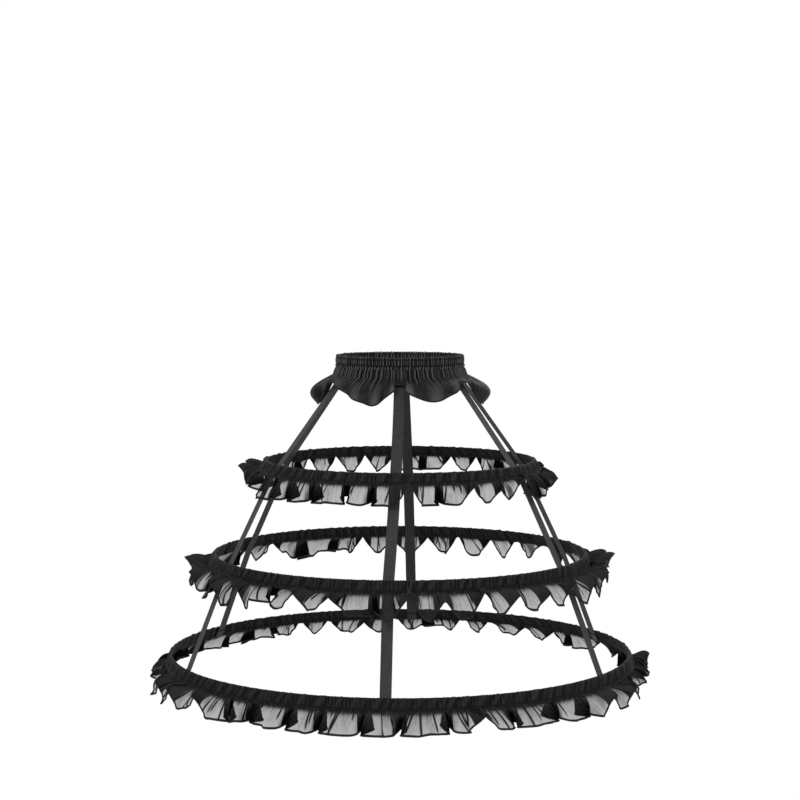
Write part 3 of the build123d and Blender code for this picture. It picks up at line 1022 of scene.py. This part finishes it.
# Places along a lobe: how far from one strap to the next, how much of the lobe's lean is added to that, how
# high the hem is there if the lobe is narrow, and how much lower if it is broad
LOBE_PLACE_SHARES = (
    (-0.07, 0.0, 1.0, 0.0), (0.07, 0.0, 1.0, 0.0), (0.19, 0.4, 0.74, 0.35), (0.34, 0.8, 0.3, 0.25),
    (0.5, 1.0, 0.0, 0.0), (0.66, 0.8, 0.3, 0.25), (0.81, 0.4, 0.74, 0.35),
)

# Places this near to the front strap, as a turn, move aside with it
FRONT_LIFT_REACH = 0.1


def frill_hem():
    """The frill's hem, and how far it tucks in: a lobe between every two straps, lifted over each strap."""
    places = []
    for lobe, (lean, broad, short, tuck) in enumerate(FRILL_LOBE_SHARES):
        for share, lean_share, narrow_dip, broad_drop in LOBE_PLACE_SHARES:
            dip = narrow_dip - broad_drop * broad
            inward = FRILL_TUCK * tuck * (1 - dip)
            radius = FRILL_CREST_RADIUS - FRILL_FOLD_DEPTH * dip - inward
            height = FRILL_BOTTOM + FRILL_HEM_LIFT * (dip + (1 - dip) * short)
            turn = (lobe + share + lean * lean_share) * TURN / len(STRAP_NAMES)
            places.append((turn, radius, height, inward))
    turn, radius, height, inward = np.array(places).T
    turn = turn + strap_turn(0, FRILL_BOTTOM) * (np.abs(nearest(turn, TURN)) < FRONT_LIFT_REACH)
    return closed_curve(np.column_stack([around(radius, turn, height), inward]))


def make_frill(rng):
    """The frill's grid and its cloth's tone, with painted shading on its gathers and waves and painted shade
    in its header.
    """
    line = closed(frill_hem())
    width = path_lengths(line)[-1]
    columns = int(width / FRILL_STEP)
    hem, inward = np.split(at_lengths(line, even_places(width, columns)), [3], axis=1)
    place = even_places(TURN, columns)
    turn = np.unwrap(turns_of(hem))
    header = np.linspace(-HEADER_SHARE, 0, HEADER_ROWS, endpoint=False)
    share = np.concatenate([header, np.linspace(0, 1, DROP_ROWS)])[:, None]
    rim = around(BAND_OUTER_RADIUS + HEADER_LEAN, turn, HEADER_BOTTOM)
    top = around(BAND_OUTER_RADIUS - FRILL_TOP_INSET, turn, -BAND_HEIGHT + FRILL_TOP_LAP)
    up, drop = np.clip(-share / HEADER_SHARE, 0, 1)[..., None], np.clip(share, 0, 1)[..., None]
    base = blend(rim, hem, 1 - (1 - drop) ** FRILL_OPENING_POWER)
    base[..., 2] = blend(rim, hem, drop)[..., 2]
    base = base + around(1, turn, 0) * inward * np.sin(pi * drop) * FRILL_BELLY_SHARE
    base = blend(base, top, up)
    gathers = ripple(place, FRILL_GATHERS, rng, spread=0.45)
    reach = gather_reach(place, FRILL_REACH_WAVES, FRILL_GATHER_SHARES, FRILL_GATHER_SWING, rng)
    grown = blend(FRILL_TOP_SHARE, 1, smooth((share + HEADER_SHARE) / FRILL_TOP_REACH_SHARE))
    fade = np.exp(-np.clip(share, 0, 1) / reach) * grown
    waves = ripple(place, FRILL_WAVES, rng, spread=0.4) * smooth(share)
    # Painted highlight on ridges of gathers and waves, painted shade in their hollows and in the header
    change = (gathers * FRILL_GATHER_SHADING - FRILL_HEADER_SHADE_DROP) * fade + waves * FRILL_WAVE_SHADING
    offset = gathers * fade * FRILL_GATHER_HEIGHT + waves * FRILL_WAVE_HEIGHT
    return pushed(base, offset), FRILL_TONE + change


# Straps

STRAP_STEP = 4 * MM

# The lower end, turned under: along the strap and inwards from its last point
STRAP_TURNED_END = np.array([(1.2, 0.2), (1.2, 1.0), (0.0, 1.2), (-6, 1.25), (-13, 1.3)]) * MM

# The ribbon's section: places across it, and half of its thickness there
RIBBON_ACROSS = np.array([-10, -9.5, -8.8, -4, 0, 4, 8.8, 9.5, 10]) * MM
RIBBON_HALF_THICKNESS = np.array([0, 0.44, 0.36, 0.34, 0.34, 0.34, 0.36, 0.44, 0]) * MM

# How far a ribbon may sway aside, in so many half waves
STRAP_SWAY = 0.25 * MM
STRAP_SWAY_HALF_WAVES = 3

# Tacks: rows down each casing, and points across the strap's inner face
TACK_ROWS = (6 * MM, 9 * MM, 17 * MM, CASING_STITCH)
TACK_HALF_WIDTH = 8 * MM
TACK_POINTS = 9
TACK_DEPTH_SHARE = 0.9


def strap_path():
    """Middle line of a strap as (radius, height), its bends eased, with its lower end turned under."""
    path = at_lengths(STRAP_LINE, np.arange(0, path_lengths(STRAP_LINE)[-1], STRAP_STEP))
    eased = path.copy()
    eased[1:-1] = (path[:-2] + path[1:-1] + path[2:]) / 3
    eased[:, 0] -= STRAP_THICKNESS / 2
    down = unit(eased[-1] - eased[-3])
    inward = np.array([down[1], -down[0]])
    turned = [eased[-1] + along * down + across * inward for along, across in STRAP_TURNED_END]
    return np.vstack([eased, *turned])


def strap_section():
    """(across, thick) points round a ribbon, a little thicker along its two selvedges."""
    outer = np.stack([RIBBON_ACROSS, RIBBON_HALF_THICKNESS], axis=1)
    inner = np.stack([RIBBON_ACROSS, -RIBBON_HALF_THICKNESS], axis=1)[-2:0:-1]
    return np.vstack([outer, inner])


def make_strap(name, turn, material, rng):
    """A ribbon from the waistband to the lowest casing's seam."""
    path, section = strap_path(), strap_section()
    along = unit(np.gradient(path, axis=0))
    out = np.stack([-along[:, 1], along[:, 0]], axis=1)
    turns = strap_turn(turn, path[:, 1])
    outward, upward = around(1, turns, 0), np.array([0, 0, 1])
    sideways = around(1, turns + pi / 2, 0)[:, None]
    middle = path[:, :1] * outward + path[:, 1:] * upward
    face = out[:, :1] * outward + out[:, 1:] * upward
    reach, _ = rng.uniform(-STRAP_SWAY, STRAP_SWAY, 2)
    phases = np.linspace(0, STRAP_SWAY_HALF_WAVES * pi, len(path)) + rng.uniform(0, TURN)
    across = section[None, :, :1] + reach * np.sin(phases)[:, None, None]
    points = middle[:, None] + across * sideways + section[None, :, 1:] * face[:, None]
    return finished(name, grid_mesh(name, points, closed(section)[:, 0], -path_lengths(path)), material)


def tack_lines():
    """Short lines across the inner face of every strap, where it is sewn to each casing."""
    lines = []
    side = np.linspace(-TACK_HALF_WIDTH, TACK_HALF_WIDTH, TACK_POINTS)[:, None]
    for turn in STRAP_TURNS:
        for hoop in HOOPS:
            for along in TACK_ROWS:
                height = -hoop.depth + hoop.lean[1] * along
                outer = np.interp(-height, -STRAP_LINE[:, 1], STRAP_LINE[:, 0])
                here = strap_turn(turn, height)
                middle = around(outer - STRAP_THICKNESS * TACK_DEPTH_SHARE, here, height)
                lines.append(middle + side * around(1, here + pi / 2, 0))
    return lines


# Making the pieces

def dressed(piece, slot, *nodes):
    """Sets a piece on the frame and hides the solids it stands for; the slot is not used."""
    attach(piece, "root")
    if nodes:
        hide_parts(*nodes)
    return piece


def stitch_row(name, lines, pitch=STITCH_PITCH, rise=STITCH_RISE, is_closed=True):
    """Stitches along lines, standing out from the axis or, with less than no rise, towards it."""
    made = along_lines(
        name, lines, is_closed, stitch_tree, thread,
        Pitch=pitch, Stitch_Length=STITCH_LENGTH, Thread_Radius=THREAD_RADIUS, Rise=rise,
    )
    return dressed(made, "gathered_cloth")


def add_sheer(name, hem_name, cloth, layers, tone, material, solid):
    """A ruffle's or frill's sheet with its rolled hem."""
    crossed = layers_crossed(cloth, layers)
    sheet = cloth_object(name, cloth, material, thickness=crossed, ridge=tone)
    dressed(sheet, "sheer_cloth", solid)
    edge = [cloth[-1]]
    hem = along_lines(hem_name, edge, True, hem_tree, hem_cloth, Radius=HEM_ROLL_RADIUS, Step=HEM_STEP)
    dressed(hem, "sheer_cloth")


def add_hoop(hoop, rng):
    """A hoop's casing and ruffle, with their stitches and hem."""
    casing, tone = make_casing(hoop, rng)
    cover = cloth_object(f"casing_cloth_{hoop.name}", casing, black_cloth, ridge=tone)
    dressed(cover, "gathered_cloth", f"casing_{hoop.name}")
    inner, outer = np.flatnonzero(np.isclose(casing_section()[:, 0], CASING_STITCH))
    stitches = [
        stitch_row(f"casing_stitches_{side}_{hoop.name}", [casing[row]], rise=rise)
        for side, row, rise in (("in", inner, -STITCH_RISE), ("out", outer, STITCH_RISE))
    ]
    cloth, layers, tone = make_ruffle(hoop, rng)
    add_sheer(
        f"ruffle_cloth_{hoop.name}", f"ruffle_hem_{hoop.name}", cloth, layers, tone,
        sheer_ruffle, f"ruffle_{hoop.name}",
    )


def add_waist(rng):
    """The waistband's cloth and the frill under it."""
    band, tone = make_band(rng)
    cover = cloth_object("waistband_cloth", band, shirred_cloth, ridge=tone)
    dressed(cover, "gathered_cloth", "waist_casing")
    section = band_section()
    outer = section[:, 0] > (WAIST_RADIUS + BAND_OUTER_RADIUS) / 2
    rows = [np.flatnonzero(outer & np.isclose(section[:, 1], stitch))[0] for stitch in BAND_STITCHES]
    stitches = [stitch_row(f"waistband_stitches_{k}", [band[row]]) for k, row in enumerate(rows)]
    cloth, tone = make_frill(rng)
    add_sheer("waist_frill_cloth", "waist_frill_hem", cloth, 0, tone, frill_cloth, "waist_ruffle")


def add_straps(rng):
    """The six ribbons, and the tacks that hold them to the casings."""
    for name, turn in zip(STRAP_NAMES, STRAP_TURNS):
        dressed(make_strap(f"ribbon_{name}", turn, ribbon, rng), "ribbon", f"strap_{name}")
    stitch_row("strap_tacks", tack_lines(), pitch=TACK_PITCH, rise=-TACK_RISE, is_closed=False)


def paint_hidden_parts():
    """Finishes for the solids that stay: the elastic, the hoop strips and their sleeves."""
    elastic = new_material(
        "woven_elastic", grained, dark=(0.02, 0.02, 0.021), light=(0.05, 0.05, 0.052),
        roughness=0.8, scale=1800.0,
    )
    coated = new_material(
        "coated_spring_strip", grained, dark=(0.015, 0.015, 0.0155), light=(0.026, 0.026, 0.0265),
        roughness=0.4, scale=300.0,
    )
    crimped = new_material(
        "crimped_sleeve", grained, dark=(0.45, 0.45, 0.46), light=(0.60, 0.60, 0.61),
        roughness=0.35, scale=900.0, metallic=1.0,
    )
    for name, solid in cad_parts.items():
        finish = {"waist_elastic": elastic}.get(name) or (crimped if "sleeve" in name else coated)
        for place in solid.material_slots:
            place.material = finish


# The room

def seen_directly(tree):
    """1 for rays from the camera and for those in reflections and clear materials."""
    ray = tree.nodes.new("ShaderNodeLightPath").outputs
    either = maths(tree, "MAXIMUM", ray["Is Camera Ray"], ray["Is Glossy Ray"])
    return maths(tree, "MAXIMUM", either, ray["Is Transmission Ray"])


def mixed_shader(tree, share, first, second):
    """A shader that much of the way from the first to the second."""
    return node(tree, "ShaderNodeMixShader", {0: share, 1: first, 2: second})


def floor_paint(tree):
    """Pale paint that keeps the skirt's shadow and turns to the white of the room further out."""
    place = node(tree, "ShaderNodeTexCoord", output="Object")
    level = node(tree, "ShaderNodeVectorMath", {0: place, 1: (1, 1, 0)}, operation="MULTIPLY")
    reach = node(tree, "ShaderNodeVectorMath", {0: level}, output="Value", operation="LENGTH")
    far = node(
        tree, "ShaderNodeMapRange",
        {"Value": reach, "From Min": FLOOR_GREY_RADIUS, "From Max": FLOOR_WHITE_RADIUS},
        interpolation_type="SMOOTHSTEP",
    )
    grain = noise(tree, place, 40.0, detail=2.0)
    colour = shade_ramp(tree, grain, (0.80, 0.80, 0.80), (0.83, 0.83, 0.83))
    paint = node(tree, "ShaderNodeBsdfDiffuse", {"Color": colour})
    white = node(tree, "ShaderNodeEmission", {"Strength": 1.0})
    return mixed_shader(tree, maths(tree, "MULTIPLY", far, seen_directly(tree)), paint, white)


def make_floor():
    """A square floor under the skirt."""
    half = FLOOR_SIZE / 2
    mesh = bpy.data.meshes.new("floor")
    corners = [(x, y, FLOOR_HEIGHT) for x, y in ((-half, -half), (half, -half), (half, half), (-half, half))]
    mesh.from_pydata(corners, [], [(0, 1, 2, 3)])
    finished("floor", mesh, new_material("pale_floor", floor_paint))


def make_room_light():
    """A white room, dimmer as a light than it looks."""
    world = bpy.data.worlds.new("room")
    world.use_nodes = True
    tree = world.node_tree
    tree.nodes.clear()
    dim, white = (
        node(tree, "ShaderNodeBackground", {"Color": (1, 1, 1, 1), "Strength": strength})
        for strength in (0.5, 1.0)
    )
    mixed = mixed_shader(tree, seen_directly(tree), dim, white)
    tree.links.new(mixed, tree.nodes.new("ShaderNodeOutputWorld").inputs["Surface"])
    bpy.context.scene.world = world


def add_lamp(name, place, watts, size):
    """A soft square lamp that faces the middle of the skirt."""
    lamp = bpy.data.lights.new(name, "AREA")
    lamp.energy, lamp.size = watts, size
    made = placed(name, lamp)
    made.location = place
    made.rotation_euler = (Vector(LIT_POINT) - Vector(place)).to_track_quat("-Z", "Y").to_euler()


def add_camera():
    """The camera, in front of the skirt and a little to one side."""
    camera = bpy.data.cameras.new("camera")
    camera.lens, camera.sensor_width = CAMERA_LENS, SENSOR_WIDTH
    made = placed("camera", camera)
    made.location = around(CAMERA_DISTANCE, CAMERA_TURN, CAMERA_HEIGHT)
    made.rotation_euler = (pi / 2 - CAMERA_TILT, 0, CAMERA_TURN)
    bpy.context.scene.camera = made


rng = np.random.default_rng(SEED)
crepe = make_crepe_group()
hem_tree, stitch_tree = make_hem_tree(), make_stitch_tree()
# The light end of each cloth's ramp is how pale its painted highlights on ridges and crests get; the shirred
# waistband's is paler for stronger painted highlights on its gathers
black_cloth = new_material("black_gathered_chiffon", gathered_cloth, crepe, light=0.022)
shirred_cloth = new_material("black_shirred_chiffon", gathered_cloth, crepe, light=0.085)
sheer_ruffle = new_material(
    "black_sheer_chiffon", sheer_cloth, crepe, clear_share=0.49, light=0.034, gloss=0.0
)
frill_cloth = new_material(
    "black_frill_chiffon", sheer_cloth, crepe, clear_share=0.012, light=0.065, gloss=0.12
)
hem_cloth = new_material(
    "black_rolled_hem", grained, dark=(0.009, 0.009, 0.0095), light=(0.019, 0.019, 0.0195),
    roughness=0.65, scale=1500.0, gloss=0.12,
)
ribbon = new_material("dark_ribbon", ribbon_cloth)
thread = new_material(
    "black_thread", grained, dark=(0.012, 0.012, 0.013), light=(0.032, 0.032, 0.034),
    roughness=0.5, scale=2500.0, gloss=0.3,
)

paint_hidden_parts()
add_waist(rng)
for hoop in HOOPS:
    add_hoop(hoop, rng)
add_straps(rng)

make_floor()
make_room_light()
for lamp in LAMPS:
    add_lamp(*lamp)
add_camera()
bpy.context.scene.view_settings.view_transform = "Standard"
